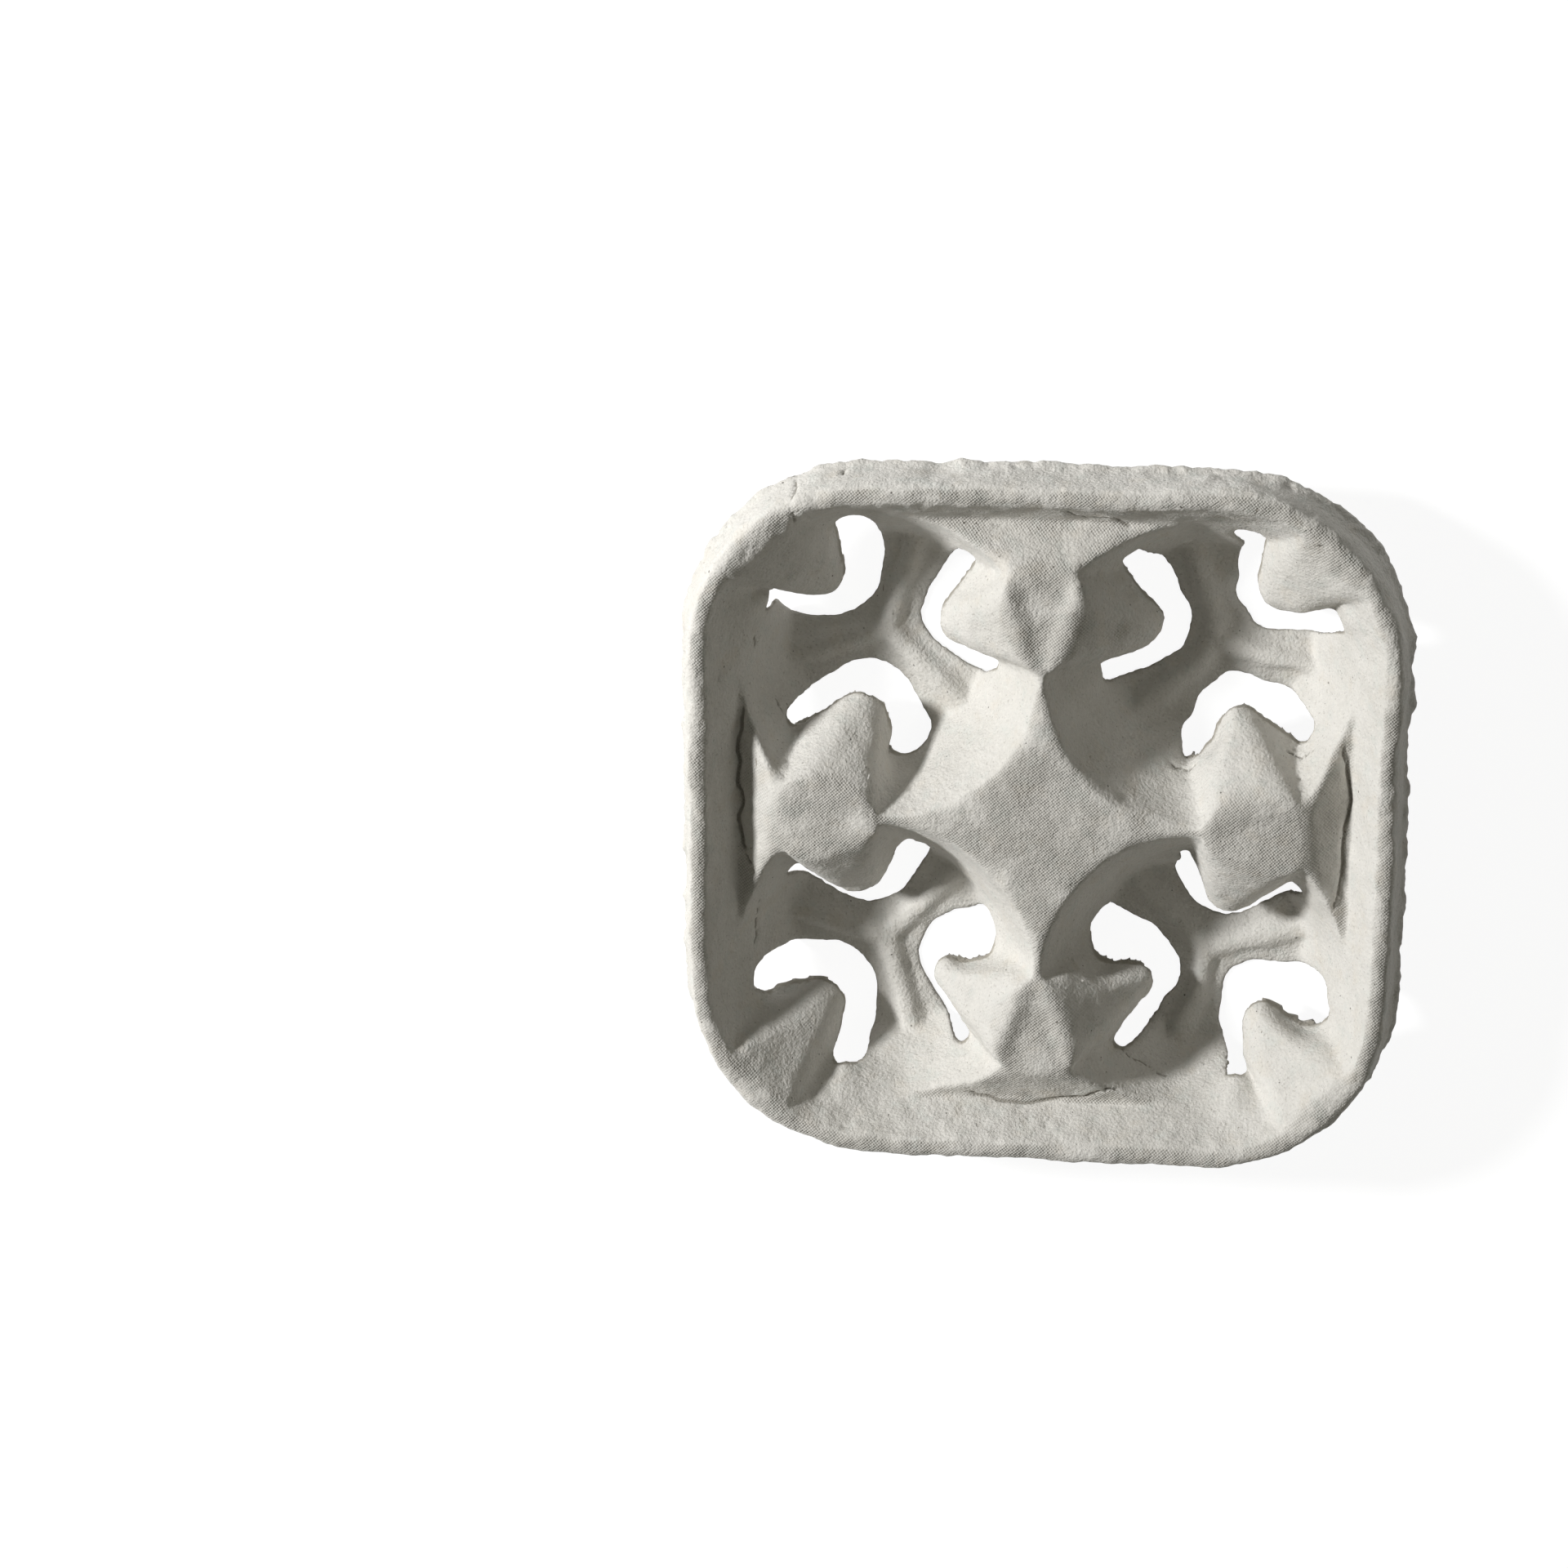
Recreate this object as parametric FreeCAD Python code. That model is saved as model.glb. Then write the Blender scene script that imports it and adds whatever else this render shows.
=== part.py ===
"""Four-cup carrier tray, moulded from pulp in one piece. Millimetres, +Z up, feet on z = 0.

The tray is a skin of constant thickness. Its upper side is one relief: a rim, four conical
pockets round a central plateau, three gripping fingers in each pocket and a raised rib on each
three-armed floor strap. The lower side is the same relief sunk by the thickness of the skin, so
every part of the relief is a function of its depth below the upper skin.
"""
import FreeCAD, Part
import math
import os

# Overall sizes
tray_width = 215.0          # across the lip, the same both ways
tray_height = 45.0          # feet to the crest of the rim
skin = 1.9                  # thickness of the pulp
outline_radius = 56.5       # of the lip's four rounded corners

# Rim
lip_level = 27.0            # underside of the lip above the feet
lip_reach = 1.0             # how far the lip stands out of the skirt
lip_thickness = 2.2
skirt_draft = 8.5           # lean of the skirt from the vertical, degrees
crest_width = 4.9           # between skirt and inner wall, measured where their planes meet the crest
crest_radius = 3.0

# Pockets
pocket_mouth = 51.0         # radius of a pocket's cone at the level of the rim's crest
wall_draft = 26.0           # lean of the pocket and rim walls from the vertical, degrees
pocket_clearance = 0.6      # how far a pocket's cone cuts past the straight rim wall
floor_radius = 3.0          # hollow fold between floor and wall

# Plateau and the four bridges that tie it to the rim
deck_level = 39.5
deck_edge_radius = 4.0      # rounded edge between the plateau and a pocket
deck_edge_rise = 8.0        # slope at which that rounding leaves the plateau, degrees
bridge_setback = 20.9       # rim's inner wall at the crest to the outer edge of a bridge
bridge_slope = 42.0         # slope of a bridge's outer side down to the groove behind the rim, degrees
bridge_edge_radius = 5.0

# Floor strap of a pocket: three arms with a raised rib
arm_angles = (105.0, 225.0, 345.0)
rib_height = 3.2
rib_top = 3.2               # width of the flat top
rib_base = 9.6              # width at the floor

# Slots: each is an elbow with one leg along either arm of the strap
slot_width = 12.5           # across a leg near its end
elbow_radius = 14.5         # strap's side of the elbow
elbow_offset = 4.9          # pocket's centre to the sharp elbow corner on the strap's side
slot_end_radius = 5.0
slot_end_share = 0.4        # the end of a narrow leg is rounded by at most this share of its width
leg_angle = 45.0            # either leg of a slot from the slot's axis, degrees

# Fingers: the nose, its flanks and the roof, along the finger's own axis from the pocket's centre
nose_radius = 8.0
finger_side_slope = 65.0    # slope of the two side facets, degrees
finger_back_slope = 36.0    # slope of the short back facet, degrees
finger_edge_cut = 0.9       # how deep the bevel along a ridge cuts under the sharp ridge
finger_overlap = 0.4        # how far a slot cuts past the finger's flank wall

corner_finger_angle = 45.0  # axis of the finger in the corner of the +X +Y pocket
corner_finger_apex = 15.3   # where the two flanks would meet
corner_finger_flank = 36.0  # angle between a flank and the axis, degrees
corner_nose_level = 14.0    # height of the roof at the nose
corner_root = 50.0          # where the roof reaches its full height
corner_root_level = 45.0
corner_back_reach = 1.5     # how far the finger runs on behind its root, under the rim
corner_facet_root = 14.0    # half width of the centre facet at the root
corner_facet_nose = 2.5     # and at the nose
corner_slot_reach = 39.0    # end of both legs, along the leg from the pocket's centre

side_finger_angle = 162.5   # axis of the finger beside the Y bridge, in the +X +Y pocket
side_slot_angle = 166.0     # axis of its slot
side_finger_apex = 12.2
side_finger_flank = 38.0
side_nose_level = 17.5
side_root = 42.5
side_root_level = 42.4
side_back_reach = 6.0
side_facet_root = 11.5
side_facet_nose = 3.0
side_slot_rim_reach = 37.5      # leg towards the rim
side_slot_middle_reach = 33.5   # leg towards the plateau

# Derived places
half_width = tray_width / 2
skirt_at_crest = half_width - lip_reach - (tray_height - lip_level) * math.tan(math.radians(skirt_draft))
wall_at_crest = skirt_at_crest - crest_width
corner_centre = half_width - outline_radius
pocket_offset = wall_at_crest + pocket_clearance - pocket_mouth
bridge_end = wall_at_crest - bridge_setback
below = -6.0                # level under the feet that every relief is filled down to
above = tray_height + 10.0
margin = 20.0               # how far a cutting shape runs past what it cuts
overlap = 1.0               # the same where a little is enough
same_point = 1e-6           # points nearer than this are one
UP = FreeCAD.Vector(0, 0, 1)


def tan(degrees):
    return math.tan(math.radians(degrees))


def shift(lean, depth):
    """Sideways move of a face leaning `lean` degrees from the vertical, when the relief sinks by depth."""
    return depth * tan((90.0 - lean) / 2)


def polar(radius, angle):
    return FreeCAD.Vector(radius * math.cos(math.radians(angle)), radius * math.sin(math.radians(angle)), 0)


def rounded_outline(corners):
    """Closed wire through (point, radius) corners, each rounded to its radius."""
    edges = []
    count = len(corners)
    ends = []
    for i, (point, radius) in enumerate(corners):
        to_last = (corners[i - 1][0] - point).normalize()
        to_next = (corners[(i + 1) % count][0] - point).normalize()
        if radius <= 0:
            ends.append((point, None, point))
            continue
        half_angle = to_last.getAngle(to_next) / 2
        reach = radius / math.tan(half_angle)
        middle = (to_last + to_next).normalize()
        nearest = point + middle * (radius / math.sin(half_angle) - radius)
        ends.append((point + to_last * reach, nearest, point + to_next * reach))
    for i, (start, nearest, end) in enumerate(ends):
        if nearest is not None:
            edges.append(Part.Arc(start, nearest, end).toShape())
        following = ends[(i + 1) % count][0]
        if end.distanceToPoint(following) > same_point:
            edges.append(Part.LineSegment(end, following).toShape())
    return Part.Wire(Part.__sortEdges__(edges))


def face_xz(corners):
    """Face in the XZ plane from (x, z, radius) corners; each fold is the bevel that touches its arc."""
    outline = []
    for i, (x, z, radius) in enumerate(corners):
        point = FreeCAD.Vector(x, 0, z)
        if radius <= 0:
            outline.append(point)
            continue
        last_x, last_z, _ = corners[i - 1]
        next_x, next_z, _ = corners[(i + 1) % len(corners)]
        to_last = (FreeCAD.Vector(last_x, 0, last_z) - point).normalize()
        to_next = (FreeCAD.Vector(next_x, 0, next_z) - point).normalize()
        half_angle = to_last.getAngle(to_next) / 2
        reach = radius * (1 / math.sin(half_angle) - 1) / math.cos(half_angle)
        outline += [point + to_last * reach, point + to_next * reach]
    return Part.Face(Part.makePolygon(outline + outline[:1]))


def rounded_square(half, radius, level, height):
    """Upright prism with a rounded square plan."""
    signs = ((1, 1), (-1, 1), (-1, -1), (1, -1))
    corners = [(FreeCAD.Vector(sx * half, sy * half, level), radius) for sx, sy in signs]
    return Part.Face(rounded_outline(corners)).extrude(FreeCAD.Vector(0, 0, height))


def turned(shape, angle, centre=FreeCAD.Vector(0, 0, 0)):
    copy = shape.copy()
    copy.rotate(centre, UP, angle)
    return copy


def mirrored(shape, normal):
    return shape.mirror(FreeCAD.Vector(0, 0, 0), normal)


def rim(depth):
    """Skirt, crest and inner wall: one section, straight along each side and revolved round each corner."""
    top = tray_height - depth
    floor = skin - depth
    outer = skirt_at_crest - shift(skirt_draft, depth)
    inner = wall_at_crest + shift(wall_draft, depth)
    foot = inner - (top - floor) * tan(wall_draft)
    slab_edge = foot - floor_radius - skin
    section = face_xz([
        (slab_edge, below, 0),
        (slab_edge, floor, 0),
        (foot, floor, floor_radius + depth),
        (inner, top, crest_radius - depth),
        (outer, top, crest_radius - depth),
        (outer + (top - below) * tan(skirt_draft), below, 0),
    ])
    side = section.translated(FreeCAD.Vector(0, -corner_centre, 0)).extrude(FreeCAD.Vector(0, 2 * corner_centre, 0))
    axis = FreeCAD.Vector(corner_centre, corner_centre, 0)
    corner = section.translated(FreeCAD.Vector(0, corner_centre, 0)).revolve(axis, UP, 90)
    pieces = [turned(piece, quarter * 90) for quarter in range(4) for piece in (side, corner)]
    slab = rounded_square(slab_edge, slab_edge - corner_centre, below, floor - below)
    return slab.multiFuse(pieces)


def pocket_void(depth):
    """The hollow of one pocket: a cone with a folded foot and a rounded upper edge."""
    floor = skin - depth
    deck = deck_level - depth
    inner = wall_at_crest + shift(wall_draft, depth) + pocket_clearance - pocket_offset
    foot = inner - (tray_height - deck_level + deck - floor) * tan(wall_draft)
    edge = foot + (deck - floor) * tan(wall_draft)
    section = face_xz([
        (0, floor, 0),
        (foot, floor, floor_radius + depth),
        (edge, deck, deck_edge_radius - depth),
        (edge + margin, deck + margin * tan(deck_edge_rise), 0),
        (edge + margin, above, 0),
        (0, above, 0),
    ])
    void = section.revolve(FreeCAD.Vector(0, 0, 0), UP, 360)
    return void.translated(FreeCAD.Vector(pocket_offset, pocket_offset, 0))


def island(depth):
    """Plateau and bridges: two crossed beams, scooped out by the four pockets."""
    deck = deck_level - depth
    end = bridge_end - depth * tan(bridge_slope / 2)
    inside_rim = half_width - lip_reach - crest_width
    run = inside_rim - end
    toe = deck - run * tan(bridge_slope)
    section = face_xz([
        (-inside_rim, below, 0),
        (-inside_rim, toe, 0),
        (-end, deck, bridge_edge_radius - depth),
        (end, deck, bridge_edge_radius - depth),
        (inside_rim, toe, 0),
        (inside_rim, below, 0),
    ])
    start = FreeCAD.Vector(0, -pocket_offset, 0)
    beam = section.translated(start).extrude(start * -2)
    cross = beam.fuse(turned(beam, 90))
    void = pocket_void(depth)
    return cross.cut([turned(void, quarter * 90) for quarter in range(4)])


def half_space(point, normal):
    """Large block whose face passes through the point and faces along the normal."""
    size = 2 * tray_width
    block = Part.makeBox(size, size, size, FreeCAD.Vector(-size / 2, -size / 2, -size))
    block.Placement = FreeCAD.Placement(point, FreeCAD.Rotation(UP, normal)).multiply(block.Placement)
    return block


def finger(depth, angle, apex, flank, nose_level, root, root_level, back_reach, facet_nose, facet_root):
    """One finger along +X from the pocket's centre, turned to its angle: a wedge under a hipped roof."""
    wall_outside = skin + finger_overlap
    apex_here = apex + (depth - wall_outside) / math.sin(math.radians(flank))
    far = root + back_reach
    spread = (far - apex_here) * tan(flank)
    plan = rounded_outline([
        (FreeCAD.Vector(apex_here, 0, below), nose_radius + wall_outside - depth),
        (FreeCAD.Vector(far, -spread, below), 0),
        (FreeCAD.Vector(far, spread, below), 0),
    ])
    body = Part.Face(plan).extrude(FreeCAD.Vector(0, 0, above - below))
    nose = apex + nose_radius * (1 / math.sin(math.radians(flank)) - 1)
    ridge_nose = FreeCAD.Vector(nose, 0, nose_level)
    ridge_root = FreeCAD.Vector(root, 0, root_level)
    along = (ridge_root - ridge_nose).normalize()
    across = FreeCAD.Vector(0, 1, 0)
    roof = along.cross(across)
    back_slope = math.radians(finger_back_slope)
    back = FreeCAD.Vector(math.sin(back_slope), 0, math.cos(back_slope))
    facets = [(ridge_nose, roof), (ridge_root, back)]
    ridges = [(ridge_root, (roof + back).normalize())]
    for side in (-1, 1):
        eave_nose = FreeCAD.Vector(nose, side * facet_nose, nose_level)
        eave_root = FreeCAD.Vector(root, side * facet_root, root_level)
        line = (eave_root - eave_nose).normalize()
        slope = math.radians(finger_side_slope)
        fall = FreeCAD.Vector(0, side * math.cos(slope), -math.sin(slope))
        normal = line.cross(fall).normalize()
        if normal.z < 0:
            normal = normal * -1
        facets.append((eave_nose, normal))
        ridges.append((eave_nose, (roof + normal).normalize()))
    facets += [(point - normal * finger_edge_cut, normal) for point, normal in ridges]
    for point, normal in facets:
        body = body.common(half_space(point - normal * depth, normal))
    return turned(body, angle).translated(FreeCAD.Vector(pocket_offset, pocket_offset, 0))


def corner_finger(depth):
    return finger(depth, corner_finger_angle, corner_finger_apex, corner_finger_flank, corner_nose_level,
                  corner_root, corner_root_level, corner_back_reach, corner_facet_nose, corner_facet_root)


def side_finger(depth):
    return finger(depth, side_finger_angle, side_finger_apex, side_finger_flank, side_nose_level,
                  side_root, side_root_level, side_back_reach, side_facet_nose, side_facet_root)


def swapped(shape):
    """Mirror image across the diagonal through the +X +Y pocket."""
    return mirrored(shape, FreeCAD.Vector(1, -1, 0).normalize())


def ribs(depth):
    """Raised rib on the three arms of one floor strap."""
    floor = skin - depth
    flank_lean = math.degrees(math.atan((rib_base - rib_top) / 2 / rib_height))
    narrower = shift(flank_lean, depth)
    half_top = rib_top / 2 - narrower
    half_base = rib_base / 2 - narrower
    section = face_xz([
        (-half_base, below, 0),
        (-half_base, floor, 0),
        (-half_top, floor + rib_height, 0),
        (half_top, floor + rib_height, 0),
        (half_base, floor, 0),
        (half_base, below, 0),
    ])
    reach = wall_at_crest - pocket_offset - (tray_height - skin - rib_height) * tan(wall_draft) + skin
    arm = section.extrude(FreeCAD.Vector(0, reach, 0))
    centre = FreeCAD.Vector(pocket_offset, pocket_offset, 0)
    return [turned(arm, angle - 90).translated(centre) for angle in arm_angles]


def relief(depth):
    """Everything under the upper skin of the +X +Y quarter, sunk by depth."""
    side = side_finger(depth)
    parts = [island(depth), corner_finger(depth), side, swapped(side)] + ribs(depth)
    height = above - below + 2 * overlap
    quarter = Part.makeBox(tray_width, tray_width, height, FreeCAD.Vector(0, 0, below - overlap))
    return rim(depth).multiFuse(parts).common(quarter)


def slot(angle, finger_angle, apex, flank, first_reach, second_reach):
    """Elbow-shaped prism round a finger's nose, with one leg to either side of the angle."""
    elbow = polar(elbow_offset, angle)
    tip = polar(apex, finger_angle)
    legs = ((-1, first_reach), (1, second_reach))
    ends = []
    for side, reach in legs:
        along = polar(1.0, angle + side * leg_angle)
        inward = polar(1.0, angle + side * (leg_angle - 90.0))
        outer = elbow + along * (reach - elbow.dot(along))
        flank_line = polar(1.0, finger_angle + side * flank)
        step = (reach - tip.dot(along)) / flank_line.dot(along)
        inner = tip + flank_line * step
        if (inner - outer).dot(inward) > slot_width:
            inner = outer + inward * slot_width
        radius = min(slot_end_radius, slot_end_share * outer.distanceToPoint(inner))
        ends.append(((outer, radius), (inner, radius)))
    (outer_a, inner_a), (outer_b, inner_b) = ends
    corners = [(elbow, elbow_radius), outer_a, inner_a, (tip, nose_radius), inner_b, outer_b]
    centre = FreeCAD.Vector(pocket_offset, pocket_offset, below)
    plan = rounded_outline([(point + centre, radius) for point, radius in corners])
    return Part.Face(plan).extrude(FreeCAD.Vector(0, 0, above - below))


def slots():
    """The three slots of the +X +Y pocket."""
    corner = slot(corner_finger_angle, corner_finger_angle, corner_finger_apex, corner_finger_flank,
                  corner_slot_reach, corner_slot_reach)
    side = slot(side_slot_angle, side_finger_angle, side_finger_apex, side_finger_flank,
                side_slot_rim_reach, side_slot_middle_reach)
    return [corner, side, swapped(side)]


def lip():
    """Thin flange round the foot of the skirt."""
    outer = rounded_square(half_width, half_width - corner_centre, lip_level, lip_thickness)
    hole_half = half_width - lip_reach - skin / 2
    hole = rounded_square(hole_half, hole_half - corner_centre, lip_level - overlap,
                          lip_thickness + 2 * overlap)
    return outer.cut(hole)


def quarter_tray():
    """One quarter of the skin, slotted and trimmed under the rim."""
    shell = relief(0).removeSplitter().cut(relief(skin).removeSplitter())
    gap_half = wall_at_crest + skin
    start = below - overlap
    keep = rounded_square(gap_half, gap_half - corner_centre, start, lip_level - start)
    around_half = half_width + margin
    around = rounded_square(around_half, around_half - corner_centre, start, lip_level - start)
    return shell.cut(around.cut(keep)).cut(slots())


def tray():
    """The whole tray: the quarter mirrored across X and then across Y, with the lip round it."""
    quarter = quarter_tray()
    half = quarter.fuse(mirrored(quarter, FreeCAD.Vector(0, 1, 0)))
    whole = half.fuse(mirrored(half, FreeCAD.Vector(1, 0, 0)))
    return whole.fuse(lip()).removeSplitter()


if __name__ == "__main__":
    os.makedirs("parts", exist_ok=True)
    shape = tray()
    shape.Solids[0].exportStep("parts/carrier_tray.step")
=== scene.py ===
"""Dressed model of a moulded-pulp cup carrier tray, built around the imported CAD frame.

Metres, +Z up, in the frame's own coordinates. The CAD solid is copied, remeshed fine and worked
over as wet pulp would be: folds go soft, the slots' edges are torn, the rim's edge wanders, and
creases and dents follow the photograph. Pixel places are in the photograph's 1920 by 1920 frame.
"""
from __future__ import annotations

import logging
import math
import random
from dataclasses import dataclass
from enum import Enum

import bpy
import numpy as np
from mathutils import Matrix, Vector
from mathutils.bvhtree import BVHTree

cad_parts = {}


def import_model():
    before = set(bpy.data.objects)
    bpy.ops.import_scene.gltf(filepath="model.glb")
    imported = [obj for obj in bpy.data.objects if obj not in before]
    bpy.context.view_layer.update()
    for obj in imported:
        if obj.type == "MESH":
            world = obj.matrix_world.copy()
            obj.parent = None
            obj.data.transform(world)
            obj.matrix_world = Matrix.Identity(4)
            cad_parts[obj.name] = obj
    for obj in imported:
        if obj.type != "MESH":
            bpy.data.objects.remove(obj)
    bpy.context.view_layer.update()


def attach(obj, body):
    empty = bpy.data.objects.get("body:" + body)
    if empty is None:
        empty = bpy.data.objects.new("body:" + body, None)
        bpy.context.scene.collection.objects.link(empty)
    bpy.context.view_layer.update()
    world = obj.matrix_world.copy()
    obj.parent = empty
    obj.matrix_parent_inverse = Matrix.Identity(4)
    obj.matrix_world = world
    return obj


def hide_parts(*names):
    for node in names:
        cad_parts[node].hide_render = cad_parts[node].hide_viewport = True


LOG = logging.getLogger("cup_carrier")
MM = 0.001
PHOTO_SIZE = 1920
WHITE = (1.0, 1.0, 1.0, 1.0)
FLECK_LEAST = 0.4
FLECK_EDGE = (1.0, 0.55)
Colour = tuple[float, float, float, float]
Place = tuple[float, float, float]
Pixel = tuple[float, float]
Span = tuple[float, float]


class Zone(Enum):
    """Parts of the tray's surface that the modelling and the finish treat in their own way."""

    SCREEN = "screen"
    TORN = "torn"
    # Slots' cut edges, which the finish darkens with painted shade.
    CUT = "cut"
    FOLDS = "folds"
    TATTERS = "tatters"
    HUMPS = "humps"
    RIM = "rim"
    LIP = "lip"
    # Crease lines, which the finish darkens with painted shade.
    CRACK = "crack"


class Push(Enum):
    """Which way a procedural texture moves the surface."""

    OUTWARD = "NORMAL"
    BOTH_SKINS = "RGB_TO_XYZ"


def deselect_all() -> None:
    """Leave object mode's selection empty, so that an operator acts only on its own piece."""
    if bpy.context.object and bpy.context.object.mode != "OBJECT":
        bpy.ops.object.mode_set(mode="OBJECT")
    bpy.ops.object.select_all(action="DESELECT")


def make_active(piece: bpy.types.Object) -> None:
    """Select one piece alone and make it active.

    Args:
        piece: The object that the next operators act on.
    """
    deselect_all()
    piece.select_set(True)
    bpy.context.view_layer.objects.active = piece


def ramp(values: np.ndarray, low: float, high: float) -> np.ndarray:
    """Smooth step from 0 at low to 1 at high.

    Args:
        values: The numbers to map.
        low: Where the step starts; it may lie above high for a falling step.
        high: Where the step ends.

    Returns:
        An array of the same length, from 0 to 1.
    """
    share = np.clip((values - low) / (high - low), 0.0, 1.0)
    return share * share * (3.0 - 2.0 * share)


@dataclass
class PhotoCamera:
    """The photograph's camera, fitted to the tray's outline and pockets.

    The optical axis goes through the middle of the frame, so the lens needs no shift.
    """

    eye: Place = (79.3 * MM, 411.0 * MM, 1263.3 * MM)
    view: Place = (-0.1196, -0.3087, -0.9436)
    up: Place = (-0.0362, 0.9512, -0.3065)
    focal_px: float = 5364.9
    sensor: float = 36.0
    near: float = 0.01

    def axes(self) -> Matrix:
        """Rotation whose columns point right, up and back from the camera."""
        back = -Vector(self.view).normalized()
        right = Vector(self.up).cross(back).normalized()
        upward = back.cross(right)
        return Matrix((right, upward, back)).transposed()

    def build(self) -> None:
        """Create the camera and make it the scene's own."""
        lens = bpy.data.cameras.new("photo_camera")
        lens.sensor_width = self.sensor
        lens.lens = self.focal_px / PHOTO_SIZE * self.sensor
        lens.clip_start = self.near
        camera = bpy.data.objects.new("photo_camera", lens)
        bpy.context.scene.collection.objects.link(camera)
        place = self.axes().to_4x4()
        place.translation = Vector(self.eye)
        camera.matrix_world = place
        bpy.context.scene.camera = camera

    def ray(self, px: float, py: float) -> tuple[Vector, Vector]:
        """Line of sight through a pixel of the photograph.

        Args:
            px: Pixels from the left edge.
            py: Pixels from the top edge.

        Returns:
            The camera's eye and the unit direction of sight.
        """
        half = PHOTO_SIZE / 2
        sight = Vector(((px - half) / self.focal_px, (half - py) / self.focal_px, -1.0))
        return Vector(self.eye), (self.axes() @ sight).normalized()


@dataclass(frozen=True)
class Crease:
    """A crack, crease or dent that follows a short line across the surface.

    Points are pixels of the photograph; the line is laid on the surface seen there. Width and
    depth are in metres. Sway is how far a middle stands aside, as a share of its run.
    """

    name: str
    points: tuple[Pixel, ...]
    width: float
    depth: float
    halvings: int = 2
    sway: float = 0.09

    def trace(self, camera: PhotoCamera, surface: BVHTree) -> list[np.ndarray]:
        """Lay the line on the surface.

        Args:
            camera: The camera that saw the line.
            surface: The tray's faces.

        Returns:
            The line's points on the surface, in metres.
        """
        hits = (surface.ray_cast(*camera.ray(*point))[0] for point in self.ragged())
        return [np.array(hit) for hit in hits if hit is not None]

    def ragged(self) -> list[Pixel]:
        """Halve the line's runs and set each middle a little aside, as paper tears.

        Returns:
            The finer line's pixels.
        """
        chance = random.Random(self.name)
        line = list(self.points)
        for _ in range(self.halvings):
            finer = line[:1]
            for (x0, y0), (x1, y1) in zip(line, line[1:]):
                aside = chance.uniform(-self.sway, self.sway)
                middle = ((x0 + x1) / 2 + (y1 - y0) * aside, (y0 + y1) / 2 - (x1 - x0) * aside)
                finer.append(middle)
                finer.append((x1, y1))
            line = finer
        return line


@dataclass(frozen=True)
class Nudge:
    """A place where the real skin stands a little aside of the regular CAD shape.

    Seen and wanted are pixels of the photograph: where the regular shape shows and where the real one
    does. The move fades over the radius sideways and over deep in height. Where the line of sight goes
    through a slot, the skin nearest to it at the slot's level is moved.
    """

    name: str
    seen: Pixel
    wanted: Pixel
    radius: float
    deep: float = 14 * MM
    slot_level: float = 6 * MM

    def moves(self, camera: PhotoCamera, surface: BVHTree, places: np.ndarray) -> np.ndarray:
        """Sideways move of every point, strongest at the seen place.

        Args:
            camera: The camera whose pixels give both places.
            surface: The tray's faces.
            places: Points of the surface.

        Returns:
            A move for each point.
        """
        eye, sight = camera.ray(*self.seen)
        hit = surface.ray_cast(eye, sight)[0]
        if hit is None:
            hit = surface.find_nearest(eye + sight * ((self.slot_level - eye.z) / sight.z))[0]
        eye, sight = camera.ray(*self.wanted)
        goal = eye + sight * ((hit.z - eye.z) / sight.z)
        away = places - np.array(hit)
        flat = np.hypot(away[:, 0], away[:, 1])
        share = np.exp(-((flat / self.radius) ** 2)) * np.exp(-((away[:, 2] / self.deep) ** 2))
        return share[:, None] * np.array(goal - hit)


@dataclass(frozen=True)
class Lumps:
    """One procedural texture that pushes the surface about.

    Size is that of its lumps, and reach is how far the surface moves from its lowest to its highest.
    A zone limits it, where there is one.
    """

    name: str
    size: float
    reach: float
    zone: Zone | None = None
    push: Push = Push.OUTWARD

    def pattern(self) -> bpy.types.Texture:
        """Make the texture.

        Returns:
            The texture.
        """
        pattern = bpy.data.textures.new(self.name, "CLOUDS")
        pattern.noise_scale = self.size
        pattern.noise_depth = 1
        pattern.cloud_type = "COLOR" if self.push is Push.BOTH_SKINS else "GRAYSCALE"
        return pattern


def line_distance(places: np.ndarray, line: list[np.ndarray]) -> np.ndarray:
    """Distance of every point to a line of straight runs.

    Args:
        places: The points.
        line: The line's own points.

    Returns:
        A distance for each point, in metres.
    """
    near = np.full(len(places), np.inf)
    for first, last in zip(line, line[1:]):
        along = last - first
        share = np.clip((places - first) @ along / (along @ along), 0.0, 1.0)
        near = np.minimum(near, np.linalg.norm(places - first - share[:, None] * along, axis=1))
    return near


def neighbour_mean(weights: np.ndarray, ends: np.ndarray) -> np.ndarray:
    """Average a value over the neighbours of each point.

    Args:
        weights: A value for each point.
        ends: The two end points of every edge, as two rows.

    Returns:
        The mean for each point.
    """
    first, second = ends
    total = np.bincount(first, weights[second], len(weights))
    total += np.bincount(second, weights[first], len(weights))
    return total / np.bincount(ends.ravel(), minlength=len(weights)).clip(min=1)


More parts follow.
